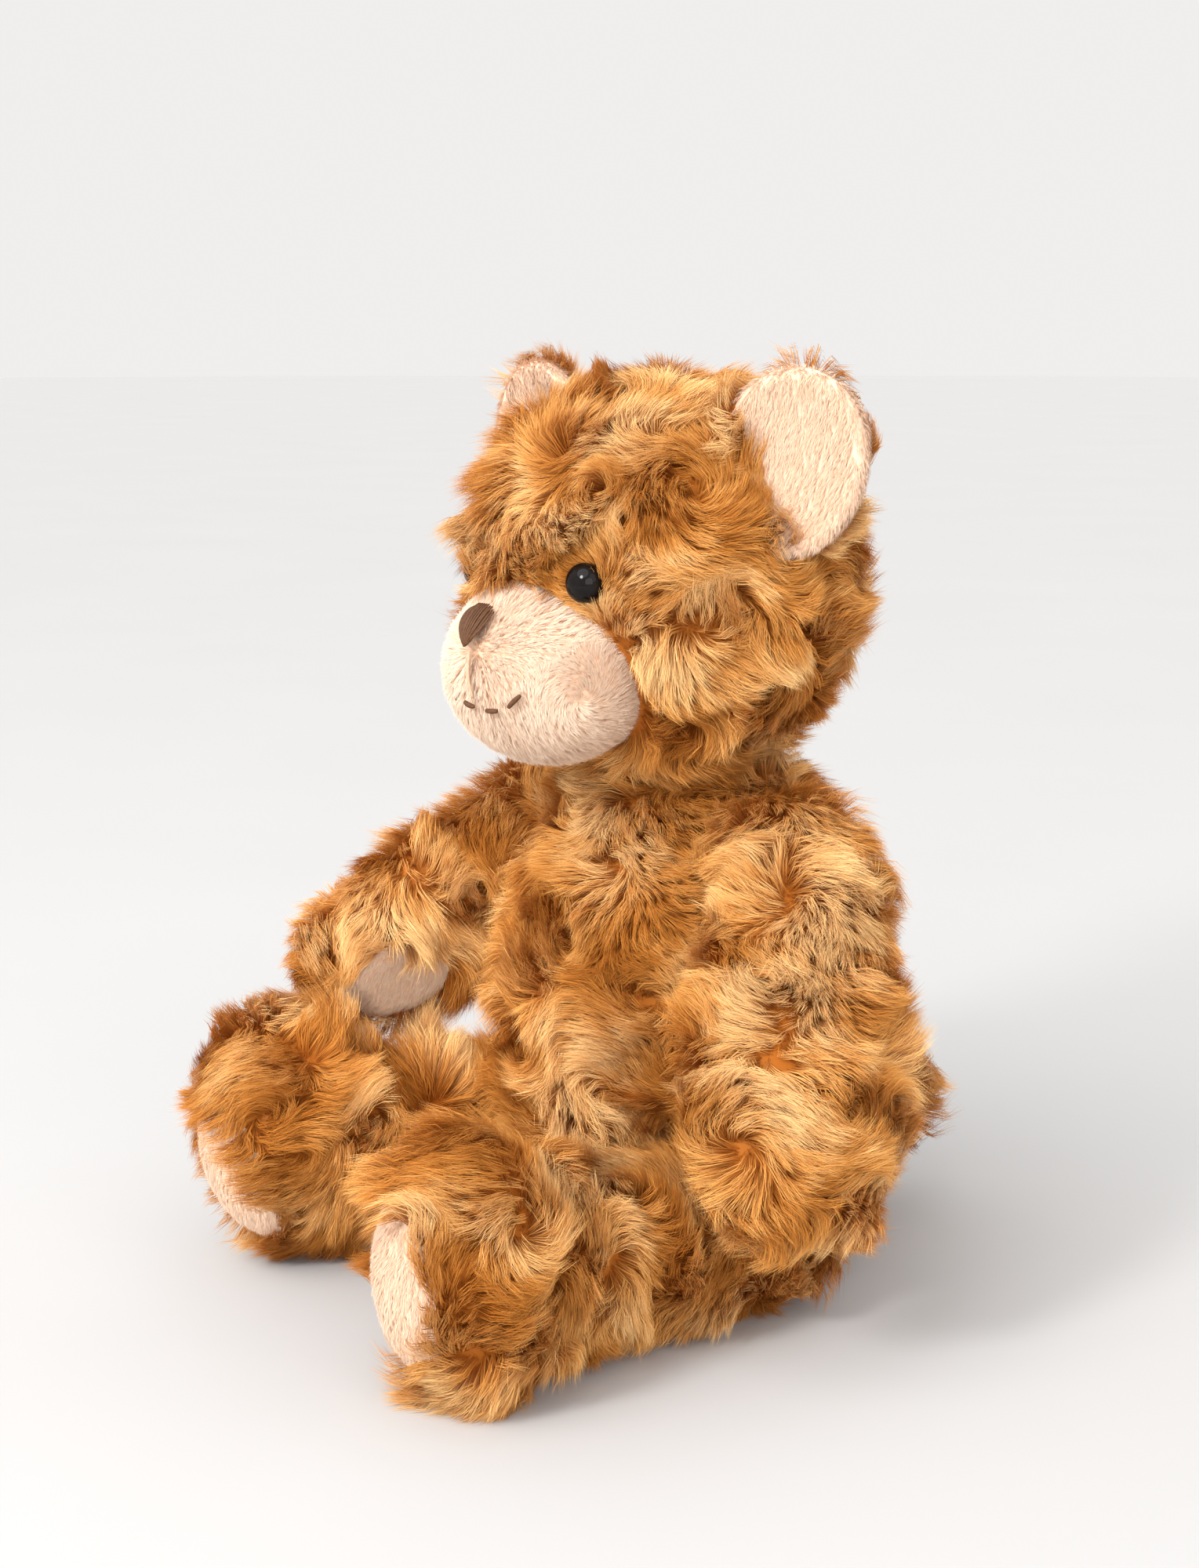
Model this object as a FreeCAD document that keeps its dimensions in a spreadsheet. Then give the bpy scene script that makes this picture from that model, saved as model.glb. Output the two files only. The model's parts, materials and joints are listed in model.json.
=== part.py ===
"""Jointed plush teddy bear, seated, built as separate soft pieces and disc joints.

Frame: millimetres, +Z up, the body faces -Y, +X is the bear's own left.
The origin is the centre of the flat seat, on the floor.
"""
import FreeCAD, Part
import math
import os

import Sketcher

from FreeCAD import Placement, Rotation, Vector

os.makedirs("parts", exist_ok=True)
doc = FreeCAD.newDocument("jointed_bear")

SIZES = [
    # thickness of the plush, air gap beside each moving or inner piece
    ("skin", 3.0),
    ("gap", 0.3),
    # depth of the flat pressed into each limb where it meets the body
    ("limb_flat", 2.2),
    # body: half width at the widest point, depth as a share of the width, heights
    ("body_half", 46.5),
    ("body_depth_share", 1.0),
    ("neck_z", 128.0),
    ("neck_y", -4.0),
    ("shoulder_x", 39.0),
    ("shoulder_z", 100.0),
    ("shoulder_y", -4.0),
    # the shoulder flats lean in towards the neck by this angle
    ("shoulder_lean", 30.0),
    # tail ball
    ("tail_r", 14.5),
    ("tail_y", 57.5),
    ("tail_z", 34.0),
    # head: an ellipsoid cut flat at the neck
    ("head_half_x", 48.0),
    ("head_half_y", 44.0),
    ("head_half_z", 47.0),
    ("head_y", -10.0),
    ("head_z", 172.0),
    ("head_turn", 5.0),
    # muzzle
    ("muzzle_half_x", 28.3),
    ("muzzle_half_y", 24.3),
    ("muzzle_half_z", 23.2),
    ("muzzle_y", -44.0),
    ("muzzle_z", 153.2),
    # nose and stitches, thread standing proud of the muzzle
    ("thread", 0.9),
    ("nose_r", 9.0),
    ("nose_corner_r", 6.8),
    ("nose_z", 165.5),
    ("seam_z", 153.2),
    ("seam_half_long", 5.2),
    ("seam_half_thick", 0.5),
    ("stitch_half_long", 2.2),
    ("stitch_half_thick", 0.5),
    ("stitch_step", 7.0),
    ("mouth_z", 146.6),
    ("mouth_curve", 0.018),
    # safety eyes
    ("eye_r", 4.6),
    ("eye_dome", 3.3),
    ("eye_seat", 1.5),
    ("eye_x", 21.5),
    ("eye_z", 175.5),
    ("eye_stem_r", 1.9),
    ("eye_stem", 9.0),
    ("eye_washer_r", 6.5),
    ("eye_washer_deep", 4.1),
    ("eye_washer_thick", 1.0),
    # ears
    ("ear_half_wide", 20.0),
    ("ear_half_tall", 23.0),
    ("ear_half_thick", 9.0),
    ("ear_lining", 2.0),
    ("ear_wall", 3.5),
    ("ear_x", 47.0),
    ("ear_y", -11.0),
    ("ear_z", 202.0),
    ("ear_lean", 22.0),
    ("ear_turn_left", 24.0),
    ("ear_turn_right", 2.0),
    # arm: shoulder end, middle and paw
    ("arm_reach", 58.0),
    ("arm_top_wide", 19.5),
    ("arm_top_thick", 14.0),
    ("arm_top_rise", 19.0),
    ("arm_mid_wide", 22.0),
    ("arm_mid_thick", 14.5),
    ("arm_low_wide", 24.0),
    ("arm_low_thick", 14.9),
    ("arm_tip_long", 27.0),
    ("arm_tip_lift", 0.0),
    ("arm_tip_wide", 24.5),
    ("arm_tip_thick", 15.0),
    ("arm_tip_out", 0.0),
    ("arm_swing_left", 22.0),
    ("arm_swing_right", 47.0),
    ("paw_pad_r", 14.5),
    ("paw_pad_beyond", 6.0),
    ("paw_pad_deep", 9.0),
    # leg: hip end, middle and foot
    ("hip_x", 23.5),
    ("hip_y", -8.0),
    ("hip_z", 22.0),
    ("leg_reach", 82.0),
    ("leg_top_wide", 20.0),
    ("leg_top_thick", 18.6),
    ("leg_top_rise", 20.0),
    ("leg_mid_wide", 19.4),
    ("leg_mid_thick", 18.6),
    ("leg_low_wide", 22.5),
    ("leg_low_thick", 19.5),
    ("leg_tip_long", 25.0),
    ("leg_tip_lift", 8.5),
    ("leg_tip_wide", 30.5),
    ("leg_tip_thick", 21.3),
    # each foot stands outwards of its thigh by this much; the right leg is a little raised
    ("leg_tip_out", 5.5),
    ("leg_raise_left", 0.0),
    ("leg_raise_right", 3.0),
    ("sole_start", 12.5),
    # the body is notched for the thighs; the leg can rise by this angle
    ("notch_r", 21.2),
    ("leg_rise", 12.0),
    # disc joints: flange, stem, washer and lock ring
    ("disc_r", 8.0),
    ("disc_thick", 2.0),
    ("stem_r", 2.5),
    ("running", 0.08),
    ("washer_r", 6.0),
    ("washer_thick", 1.5),
    ("ring_r", 4.6),
    ("ring_thick", 2.0),
    ("stem_end", 1.0),
]

sheet = doc.addObject("Spreadsheet::Sheet", "sizes")
for row, (alias, value) in enumerate(SIZES, start=1):
    sheet.set(f"A{row}", alias)
    sheet.set(f"B{row}", str(value))
    sheet.setAlias(f"B{row}", alias)
doc.recompute()

WORDS = sorted((alias for alias, _ in SIZES), key=len, reverse=True)
BIG = 400.0
AXES = {"x": Rotation(Vector(0, 1, 0), 90), "-x": Rotation(Vector(0, 1, 0), -90),
        "y": Rotation(Vector(1, 0, 0), -90), "z": Rotation()}


def size(alias):
    """The value of one cell of the sheet."""
    return float(sheet.get(alias))


def cells(text):
    """Turn a sum written with cell names into an expression on the sheet."""
    words = []
    for word in text.replace("(", " ( ").replace(")", " ) ").split():
        words.append(f"sizes.{word}" if word in WORDS else word)
    return " ".join(words)


def bind(item, **sums):
    """Bind properties of a document object to sums of cells."""
    for prop, text in sums.items():
        item.setExpression(prop.replace("_", "."), cells(text))
    return item


def place(item, spot, turn=None):
    """Bind a position given as three sums, or set a placement worked out in code."""
    if isinstance(spot, Placement):
        item.Placement = spot
        return item
    if turn is not None:
        item.Placement = Placement(Vector(), turn)
    x, y, z = spot
    return bind(item, Placement_Base_x=x, Placement_Base_y=y, Placement_Base_z=z)


def ellipsoid(name, halves, spot=("0", "0", "0")):
    item = doc.addObject("Part::Ellipsoid", name)
    bind(item, Radius2=halves[0], Radius3=halves[1], Radius1=halves[2])
    return place(item, spot)


def cylinder(name, radius, height, spot, turn=None):
    item = doc.addObject("Part::Cylinder", name)
    bind(item, Radius=radius, Height=height)
    return place(item, spot, turn)


def block(name, long, wide, tall, spot, turn=None):
    item = doc.addObject("Part::Box", name)
    bind(item, Length=long, Width=wide, Height=tall)
    return place(item, spot, turn)


def cut(name, base, *tools):
    """Cut a base by one tool, or by several tools joined into one."""
    item = doc.addObject("Part::Cut", name)
    item.Base = base
    item.Tool = tools[0] if len(tools) == 1 else fuse(name + "_tools", *tools)
    return item


def common(name, base, tool):
    item = doc.addObject("Part::Common", name)
    item.Base = base
    item.Tool = tool
    return item


def fuse(name, *pieces):
    item = doc.addObject("Part::MultiFuse", name)
    item.Shapes = list(pieces)
    return item


def rings(name, stations, turn):
    """A solid lofted through ellipses; a station is (x, y, z, major, minor)."""
    sections = []
    for count, (x, y, z, major, minor) in enumerate(stations):
        section = doc.addObject("Part::Ellipse", f"{name}_ring{count}")
        bind(section, MajorRadius=major, MinorRadius=minor)
        sections.append(place(section, (x, y, z), turn))
    loft = doc.addObject("Part::Loft", name)
    loft.Sections = sections
    loft.Solid = True
    loft.Ruled = False
    return loft


def plane(body, role):
    """One of a body's own origin planes."""
    for feature in body.Origin.OriginFeatures:
        if feature.Role == role:
            return feature
    raise ValueError(role)


def circles(body, name, *radii):
    """A sketch of concentric circles on the body's XY plane."""
    sketch = body.newObject("Sketcher::SketchObject", name)
    sketch.AttachmentSupport = [(plane(body, "XY_Plane"), "")]
    sketch.MapMode = "FlatFace"
    for count, text in enumerate(radii):
        drawn = 5.0 - count
        index = sketch.addGeometry(Part.Circle(Vector(), Vector(0, 0, 1), drawn), False)
        sketch.addConstraint(Sketcher.Constraint("Coincident", index, 3, -1, 1))
        limit = sketch.addConstraint(Sketcher.Constraint("Radius", index, drawn))
        sketch.setExpression(f"Constraints[{limit}]", cells(text))
    return sketch


def pad(body, name, length, radii, downward=False):
    """Pad a sketch of circles along the body's axis."""
    feature = body.newObject("PartDesign::Pad", name)
    feature.Profile = circles(body, name + "_sketch", *radii)
    feature.Reversed = downward
    bind(feature, Length=length)
    body.Tip = feature
    return feature


# ---------------------------------------------------------------- frames of the joints

NODES = []
SIDES = {1: "left", -1: "right"}
OUTWARD = {1: Rotation(Vector(0, 1, 0), 90), -1: Rotation(Vector(0, 1, 0), -90)}
UPWARD = Rotation()
WIDE = Rotation(Vector(0, 0, 1), 90)
SKIN = size("skin")
GAP = size("gap")
WALL = "skin + gap"


def node(item, placement=None):
    """Name an object as one finished piece and put it in its place."""
    item.Label = item.Name
    if placement is not None:
        item.Placement = placement.multiply(item.Placement)
    NODES.append(item)
    return item


def shifted(frame, x=0.0, y=0.0, z=0.0, turn=None):
    """A placement moved, and turned, inside a frame."""
    return frame.multiply(Placement(Vector(x, y, z), turn or Rotation()))


def shoulder_frame(side):
    """Origin on the arm's inner flat; X is across the body, -Z runs down the flat."""
    spot = Vector(side * size("shoulder_x"), size("shoulder_y"), size("shoulder_z"))
    return Placement(spot, Rotation(Vector(0, 1, 0), -side * size("shoulder_lean")))


def hip_frame(side):
    """Origin on the leg's inner flat, -Z runs forwards along the leg and -Y is up."""
    spot = Vector(side * size("hip_x"), size("hip_y"), size("hip_z"))
    return Placement(spot, Rotation(Vector(1, 0, 0), -90))


def swing(frame, angle):
    """Swing a limb forwards about its own joint axis."""
    return shifted(frame, turn=Rotation(Vector(1, 0, 0), -angle))


NECK_FRAME = Placement(Vector(0, size("neck_y"), size("neck_z") + GAP), UPWARD)
HEAD_FRAME = shifted(NECK_FRAME, turn=Rotation(Vector(0, 0, 1), size("head_turn")))


def drill(name, radius, low, high, frame, turn):
    """A round tool along a joint axis, between two distances from the limb's flat."""
    tool = cylinder(name, radius, str(high - low), Placement())
    tool.Placement = frame.multiply(Placement(turn.multVec(Vector(0, 0, low)), turn))
    return tool


def stem_hole(name, frame, turn):
    """The hole a stem passes through in both skins."""
    return drill(name, "stem_r + running", -2 * SKIN, 1.5 * SKIN, frame, turn)


def disc_room(name, frame, turn):
    """Space for the disc inside a limb's filling."""
    return drill(name, "disc_r + gap", 0.0, SKIN + 2 * GAP + size("disc_thick"), frame, turn)


def washer_room(name, frame, turn, start=0.0):
    """Space for the washer, the lock ring and the stem's end inside the body, from a depth under the flat."""
    deep = SKIN + 5 * GAP + size("washer_thick") + size("ring_thick") + size("stem_end")
    return drill(name, "washer_r + gap", -deep - GAP, -start, frame, turn)


def disc_joint(prefix, end, fixed, moving, turn):
    """Disc with stem, washer and lock ring; the turn points from the body into the limb."""
    def stack(piece, frame, distance):
        piece.Placement = Placement(turn.multVec(Vector(0, 0, distance)), turn)
        node(piece, frame)

    disc = doc.addObject("PartDesign::Body", f"{prefix}_disc{end}")
    pad(disc, f"{prefix}_flange{end}", "disc_thick", ("disc_r",))
    reach = "5 * gap + 2 * skin + washer_thick + ring_thick + stem_end"
    pad(disc, f"{prefix}_stem{end}", reach, ("stem_r",), downward=True)
    stack(disc, moving, SKIN + GAP)

    washer = doc.addObject("PartDesign::Body", f"{prefix}_washer{end}")
    pad(washer, f"{prefix}_washer_pad{end}", "washer_thick", ("washer_r", "stem_r + running"))
    below = -(SKIN + 2 * GAP + size("washer_thick"))
    stack(washer, fixed, below)

    ring = doc.addObject("PartDesign::Body", f"{prefix}_lock_ring{end}")
    pad(ring, f"{prefix}_ring_pad{end}", "ring_thick", ("ring_r", "stem_r"))
    stack(ring, moving, below - GAP - size("ring_thick"))


# ---------------------------------------------------------------- body and tail

BODY_PROFILE = [(0.0, 0.64), (0.06, 0.83), (0.16, 0.955), (0.30, 1.0), (0.47, 0.99), (0.64, 0.945),
                (0.77, 0.865), (0.885, 0.73), (1.0, 0.51)]


def notch(name, side, inset, deep):
    """Room for a thigh as it turns: a round end about the hip axis, and the space below and in front."""
    edge = size("hip_x") - GAP - deep
    radius = size("notch_r") + deep
    hip = Placement(Vector(side * edge, size("hip_y"), size("hip_z")), UPWARD)
    across = 0.0 if side > 0 else -100.0
    axle = cylinder(name + "_round", f"notch_r + {inset}", "100", shifted(hip, turn=OUTWARD[side]))
    low = block(name + "_low", "100", f"100 + notch_r + {inset}", "100", shifted(hip, across, -100, -100))
    raised = shifted(hip, turn=Rotation(Vector(1, 0, 0), -size("leg_rise")))
    high = block(name + "_high", "100", "100", "50", shifted(raised, across, -100, radius - 50))
    return fuse(name, axle, low, high)


def body_form(name, inset, deep):
    """The pear-shaped body, every wall moved in: flat seat and neck, shoulder flats, thigh notches."""
    stations = []
    for share, width in BODY_PROFILE:
        level = f"{inset} + {share} * ( neck_z - 2 * ( {inset} ) )"
        half = f"{width} * body_half - ( {inset} )"
        stations.append(("0", "0", level, half, f"( {half} ) * body_depth_share"))
    tools = []
    for side, end in SIDES.items():
        across = -GAP - deep if side > 0 else GAP + deep - 200
        spot = shifted(shoulder_frame(side), across, -200, -200)
        tools.append(block(f"{name}_shoulder_{end}", "200", "400", "400", spot))
        tools.append(notch(f"{name}_notch_{end}", side, inset, deep))
    return cut(name, rings(name + "_pear", stations, UPWARD), *tools)


def tail_ball(name, inset):
    half = f"tail_r - ( {inset} )"
    return ellipsoid(name, (half, half, half), ("0", "tail_y", "tail_z"))


SEATS = {"neck": (NECK_FRAME, UPWARD)}
for side, end in SIDES.items():
    SEATS[f"shoulder_{end}"] = (shoulder_frame(side), OUTWARD[side])
    SEATS[f"hip_{end}"] = (hip_frame(side), OUTWARD[side])

body_outer = body_form("body_outer", "0", 0.0)
body_hollow = body_form("body_hollow", "skin", SKIN)
body_core = body_form("body_core", WALL, SKIN + GAP)
holes = [stem_hole(f"{seat}_body_hole", *frames) for seat, frames in SEATS.items()]
rooms = [washer_room(f"{seat}_body_room", *frames) for seat, frames in SEATS.items()]
seated = [washer_room(f"{seat}_recess", *SEATS[seat], SKIN) for seat in ("shoulder_left", "shoulder_right")]
node(cut("torso_skin", body_outer, body_hollow, *holes, *seated))
node(cut("torso_stuffing", body_core, *rooms))
tail_shell = cut("tail_shell", tail_ball("tail_outer", "0"), tail_ball("tail_hollow", "skin"))
node(cut("tail_skin", tail_shell, body_outer))
body_near = body_form("body_near", "-1 * gap", -GAP)
node(cut("tail_stuffing", tail_ball("tail_core", WALL), body_near))


# ---------------------------------------------------------------- limbs

ROUNDING = (78, 58, 32)


def limb_form(name, kind, side, inset, deep):
    """A soft limb with every wall moved in: round joint end, long middle and round tip.

    The limb lies on the outer side of its flat, runs along -Z and is wide along Y.
    """
    def station(part, level, tip_share=0.0, angle=0):
        share = round(math.cos(math.radians(angle)), 4)
        halves = [f"{share} * ( {kind}_{part}_{way} - ( {inset} ) )" for way in ("wide", "thick")]
        out = f"{side} * ( {kind}_{part}_thick - limb_flat + {tip_share} * {kind}_tip_out )"
        return (out, f"{-tip_share} * {kind}_tip_lift", level, *halves)

    def rise(angle):
        return round(math.sin(math.radians(angle)), 4)

    top_level = f"( {kind}_top_rise - ( {inset} ) )"
    tip_level = f"( {kind}_tip_long - ( {inset} ) )"
    stations = [station("top", f"{rise(angle)} * {top_level}", 0.0, angle) for angle in ROUNDING]
    stations.append(station("top", "0"))
    stations.append(station("mid", f"-0.5 * {kind}_reach", 0.1))
    stations.append(station("low", f"0.7 * {kind}_tip_long - {kind}_reach", 0.4))
    for angle in (0, *reversed(ROUNDING)):
        stations.append(station("tip", f"-1 * {kind}_reach - {rise(angle)} * {tip_level}", 1.0, angle))
    across = deep - 200 if side > 0 else -deep
    inner = block(name + "_inner", "200", "400", "400", shifted(Placement(), across, -200, -200))
    return cut(name, rings(name + "_whole", stations, WIDE), inner)


def limb(kind, side, prefix, pad_name, pad_tool, fixed, moving):
    """Skin, cream pad, filling and disc joint of one limb."""
    end = SIDES[side]
    turn = OUTWARD[side]
    here = Placement()
    outer = limb_form(f"{kind}_outer_{end}", kind, side, "0", 0.0)
    hollow = limb_form(f"{kind}_hollow_{end}", kind, side, "skin", SKIN)
    core = limb_form(f"{kind}_core_{end}", kind, side, WALL, SKIN + GAP)
    shell = cut(f"{kind}_shell_{end}", outer, hollow)
    hole = stem_hole(f"{kind}_hole_{end}", here, turn)
    room = disc_room(f"{kind}_room_{end}", here, turn)
    node(cut(f"{kind}_skin_{end}", shell, pad_tool, hole), moving)
    node(common(f"{pad_name}_{end}", shell, pad_tool), moving)
    node(cut(f"{kind}_stuffing_{end}", core, room), moving)
    disc_joint(prefix, f"_{end}", fixed, moving, turn)


for side, end in SIDES.items():
    frame = shoulder_frame(side)
    moving = swing(frame, size(f"arm_swing_{end}"))
    palm_level = -size("arm_reach") - size("paw_pad_beyond")
    palm_spot = Placement(Vector(-side, 0, palm_level), OUTWARD[side])
    palm = cylinder(f"palm_{end}", "paw_pad_r", "paw_pad_deep", palm_spot)
    limb("arm", side, "shoulder", "paw_pad", palm, frame, moving)

    frame = hip_frame(side)
    reach = -200 - size("leg_reach") - size("sole_start")
    sole = block(f"sole_{end}", "400", "400", "200", Placement(Vector(-200, -200, reach), UPWARD))
    raised = swing(frame, size(f"leg_raise_{end}"))
    limb("leg", side, "hip", "sole_pad", sole, frame, raised)


# ---------------------------------------------------------------- head

def head_form(name, inset, deep):
    """The skull with every wall moved in, cut flat above the neck."""
    halves = [f"head_half_{axis} - ( {inset} )" for axis in "xyz"]
    skull = ellipsoid(name + "_skull", halves, ("0", "head_y", "head_z"))
    floor = shifted(NECK_FRAME, -100, -100, deep - 100)
    return cut(name, skull, block(name + "_floor", "200", "200", "100", floor))


def muzzle_form(name, inset):
    halves = [f"muzzle_half_{axis} - ( {inset} )" for axis in "xyz"]
    return ellipsoid(name, halves, ("0", "muzzle_y", "muzzle_z"))


def on_skull(side):
    """Placement on the skull's surface at an eye, Z pointing straight out."""
    x = side * size("eye_x")
    z = size("eye_z")
    share_x = x / size("head_half_x")
    share_z = (z - size("head_z")) / size("head_half_z")
    share_y = math.sqrt(1.0 - share_x ** 2 - share_z ** 2)
    spot = Vector(x, size("head_y") - size("head_half_y") * share_y, z)
    out = Vector(share_x / size("head_half_x"), -share_y / size("head_half_y"), share_z / size("head_half_z"))
    return Placement(spot, Rotation(Vector(0, 0, 1), out))


def eye(side):
    """A glossy dome on a round base with a stem, its washer, and the tools that make room for them."""
    end = SIDES[side]
    spot = on_skull(side)
    base = -size("eye_seat")
    stem_low = base - size("eye_stem")
    washer_low = -size("eye_washer_deep") - size("eye_washer_thick")

    dome = ellipsoid(f"eye_dome_{end}", ("eye_r", "eye_r", "eye_dome"))
    dome.Angle1 = 0.0
    rim = cylinder(f"eye_rim_{end}", "eye_r", "eye_seat", Placement(Vector(0, 0, base), UPWARD))
    stem = cylinder(f"eye_stem_{end}", "eye_stem_r", "eye_stem", Placement(Vector(0, 0, stem_low), UPWARD))
    node(fuse(f"eye_{end}", dome, rim, stem), HEAD_FRAME_ZERO.multiply(spot))

    washer = doc.addObject("PartDesign::Body", f"eye_washer_{end}")
    pad(washer, f"eye_washer_pad_{end}", "eye_washer_thick", ("eye_washer_r", "eye_stem_r"))
    washer.Placement = Placement(Vector(0, 0, washer_low), UPWARD)
    node(washer, HEAD_FRAME_ZERO.multiply(spot))

    pocket = cylinder(f"eye_pocket_{end}", "eye_r + 0.1", "20", shifted(spot, z=base))
    hole = cylinder(f"eye_hole_{end}", "eye_stem_r + 0.05", "12", shifted(spot, z=base - 8))
    deep = -stem_low + GAP
    room = cylinder(f"eye_room_{end}", "eye_washer_r + gap", str(deep), shifted(spot, z=-deep))
    return pocket, hole, room


# everything of the head is drawn facing straight ahead, then turned about the neck
HEAD_FRAME_ZERO = HEAD_FRAME.multiply(NECK_FRAME.inverse())
skull_outer = head_form("skull_outer", "0", 0.0)
skull_hollow = head_form("skull_hollow", "skin", SKIN)
skull_core = head_form("skull_core", WALL, SKIN + GAP)
skull_near = head_form("skull_near", "-1 * gap", -GAP)
left_eye = eye(1)
right_eye = eye(-1)
pockets = [left_eye[0], right_eye[0]]
neck_hole = stem_hole("neck_head_hole", NECK_FRAME, UPWARD)
neck_room = disc_room("neck_head_room", NECK_FRAME, UPWARD)
skull_tools = [skull_hollow, neck_hole, *left_eye[:2], *right_eye[:2]]
node(cut("head_skin", skull_outer, *skull_tools), HEAD_FRAME_ZERO)
node(cut("head_stuffing", skull_core, neck_room, left_eye[2], right_eye[2]), HEAD_FRAME_ZERO)
muzzle_outer = muzzle_form("muzzle_outer", "0")
muzzle_hollow = muzzle_form("muzzle_hollow", "skin")
node(cut("muzzle_skin", muzzle_outer, muzzle_hollow, skull_outer, *pockets), HEAD_FRAME_ZERO)
node(cut("muzzle_stuffing", muzzle_form("muzzle_core", WALL), skull_near, *pockets), HEAD_FRAME_ZERO)
disc_joint("neck", "", NECK_FRAME, HEAD_FRAME, UPWARD)


# ---------------------------------------------------------------- nose and stitches

FORWARD = Rotation(Vector(1, 0, 0), 90)
thread_layer = cut("thread_layer", muzzle_form("thread_outer", "-1 * thread"), muzzle_outer, skull_near)


def thread_bar(name, half_long, half_thick, x, z, slope):
    """Thread lying on the muzzle: the part of the layer of thread inside a narrow bar."""
    frame = Placement(Vector(x, size("muzzle_y"), z), Rotation(Vector(0, 1, 0), -slope))
    corner = shifted(frame, -size(half_long), -60, -size(half_thick))
    bar = block(name + "_bar", f"2 * {half_long}", "60", f"2 * {half_thick}", corner)
    return node(common(name, thread_layer, bar), HEAD_FRAME_ZERO)


nose_spot = Placement(Vector(0, size("muzzle_y"), size("nose_z")), FORWARD)
triangle = doc.addObject("Part::Prism", "nose_triangle")
triangle.Polygon = 3
bind(triangle, Circumradius="nose_r", Height="60")
triangle.Placement = shifted(nose_spot, turn=Rotation(Vector(0, 0, 1), -90))
rounding = cylinder("nose_rounding", "nose_corner_r", "60", nose_spot)
nose_outline = common("nose_outline", triangle, rounding)
node(common("nose_embroidery", thread_layer, nose_outline), HEAD_FRAME_ZERO)
thread_bar("nose_seam", "seam_half_long", "seam_half_thick", 0.0, size("seam_z"), 90.0)
for place_along in range(-2, 3):
    x = place_along * size("stitch_step")
    z = size("mouth_z") + size("mouth_curve") * x * x
    slope = math.degrees(math.atan(2 * size("mouth_curve") * x))
    thread_bar(f"mouth_stitch_{place_along + 3}", "stitch_half_long", "stitch_half_thick", x, z, slope)


# ---------------------------------------------------------------- ears

def ear(side):
    """A cupped back and a thinner cream lining pressed into it, cut to the skull."""
    end = SIDES[side]
    turn = Rotation(Vector(0, 0, 1), side * size(f"ear_turn_{end}"))
    lean = Rotation(Vector(0, 1, 0), side * size("ear_lean"))
    spot = Vector(side * size("ear_x"), size("ear_y"), size("ear_z"))
    frame = Placement(spot, turn.multiply(lean))

    def dish(name, inset):
        halves = [f"ear_half_{axis} - ( {inset} )" for axis in ("wide", "thick", "tall")]
        return ellipsoid(f"{name}_{end}", halves, frame)

    front = block(f"ear_front_{end}", "200", "200", "200", shifted(frame, -100, -200, -100))
    back = cut(f"ear_dish_{end}", dish("ear_back", "0"), dish("ear_cup", "ear_wall"))
    lining = cut(f"ear_bowl_{end}", dish("ear_cushion", "ear_wall"), dish("ear_hollow", "ear_wall + ear_lining"))
    node(cut(f"ear_outer_{end}", back, front, skull_outer), HEAD_FRAME_ZERO)
    node(cut(f"ear_inner_{end}", lining, front, skull_outer), HEAD_FRAME_ZERO)


for side in SIDES:
    ear(side)


# ---------------------------------------------------------------- check and export

doc.recompute()
for item in doc.Objects:
    if "Invalid" in item.State or "Error" in item.State:
        raise RuntimeError(f"{item.Name} did not compute: {item.State}")
for item in NODES:
    if item.Shape.isNull() or not item.Shape.isValid() or not item.Shape.Solids:
        raise RuntimeError(f"{item.Label} is not a valid solid")
for item in NODES:
    item.Shape.exportStep(f"parts/{item.Label}.step")
print(f"{len(NODES)} pieces exported")
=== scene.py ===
import json
import math

import bpy
import numpy as np
from mathutils import Matrix, Vector
from mathutils.bvhtree import BVHTree

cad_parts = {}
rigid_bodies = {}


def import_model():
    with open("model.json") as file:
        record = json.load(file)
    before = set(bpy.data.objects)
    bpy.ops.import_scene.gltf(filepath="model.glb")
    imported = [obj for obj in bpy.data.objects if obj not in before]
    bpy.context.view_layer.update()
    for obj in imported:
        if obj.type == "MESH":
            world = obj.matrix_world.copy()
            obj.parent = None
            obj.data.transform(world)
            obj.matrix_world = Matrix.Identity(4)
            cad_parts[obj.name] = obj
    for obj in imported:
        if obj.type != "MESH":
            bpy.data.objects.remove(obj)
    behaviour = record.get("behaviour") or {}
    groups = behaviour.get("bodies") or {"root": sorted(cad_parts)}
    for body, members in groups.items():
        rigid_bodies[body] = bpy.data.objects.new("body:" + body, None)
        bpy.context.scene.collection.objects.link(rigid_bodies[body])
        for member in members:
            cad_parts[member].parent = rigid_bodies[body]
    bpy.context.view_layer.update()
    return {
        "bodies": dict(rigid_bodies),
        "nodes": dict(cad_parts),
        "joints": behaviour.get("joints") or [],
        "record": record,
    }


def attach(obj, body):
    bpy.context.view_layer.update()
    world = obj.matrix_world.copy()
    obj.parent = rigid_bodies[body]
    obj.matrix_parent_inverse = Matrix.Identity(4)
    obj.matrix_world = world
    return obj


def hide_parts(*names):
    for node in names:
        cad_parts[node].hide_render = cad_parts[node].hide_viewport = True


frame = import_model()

MM = 0.001

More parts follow.
